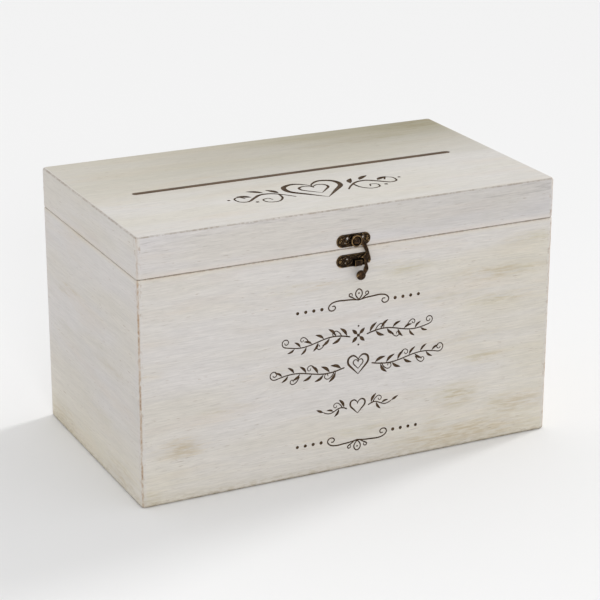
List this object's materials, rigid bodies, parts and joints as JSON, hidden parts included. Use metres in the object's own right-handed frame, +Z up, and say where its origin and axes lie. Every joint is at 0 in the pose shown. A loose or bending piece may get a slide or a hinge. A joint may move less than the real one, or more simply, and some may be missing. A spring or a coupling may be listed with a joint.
{
  "type": "wedding card box",
  "caption": "Whitewashed wooden card box with a hinged lid, a long slot for cards in the lid, a swing-hook latch at the front and butt hinges at the back.",
  "frame": {"origin": "centre of the box's underside, on the surface that it stands on", "axes": "+X to the right along the front, +Y to the back, +Z up through the lid"},
  "size_m": [0.35, 0.2133, 0.212],
  "materials": {
    "whitewashed_wood": "whitewashed, brushed and sanded back along the edges, matt",
    "bottom_board": "thin board, lightly whitewashed, matt",
    "antique_bronze": "antique bronze, dark patina with rubbed edges"
  },
  "bodies": {
    "box_base": {"front_panel": "whitewashed_wood", "back_panel": "whitewashed_wood", "left_panel": "whitewashed_wood", "right_panel": "whitewashed_wood", "bottom_panel": "bottom_board", "latch_catch_plate": "antique_bronze", "latch_catch_nails": "antique_bronze", "hinge_left_base_leaf": "antique_bronze", "hinge_right_base_leaf": "antique_bronze", "hinge_left_pin": "antique_bronze", "hinge_right_pin": "antique_bronze", "hinge_base_screws": "antique_bronze"},
    "lid": {"lid_top_panel": "whitewashed_wood", "lid_front_rail": "whitewashed_wood", "lid_back_rail": "whitewashed_wood", "lid_left_rail": "whitewashed_wood", "lid_right_rail": "whitewashed_wood", "latch_lid_plate": "antique_bronze", "latch_pivot_rivet": "antique_bronze", "latch_lid_nails": "antique_bronze", "hinge_left_lid_leaf": "antique_bronze", "hinge_right_lid_leaf": "antique_bronze", "hinge_lid_screws": "antique_bronze"},
    "latch_hook": {"latch_hook": "antique_bronze"}
  },
  "joints": [
    {"name": "lid_hinge", "type": "hinge", "parent": "box_base", "child": "lid", "pos_m": [0, 0.1023, 0.1798], "axis": [-1, 0, 0], "range_deg": [0, 180]},
    {"name": "latch_swing", "type": "hinge", "parent": "lid", "child": "latch_hook", "pos_m": [0.0005, -0.102, 0.1858], "axis": [0, -1, 0], "range_deg": [-5, 110]}
  ]
}
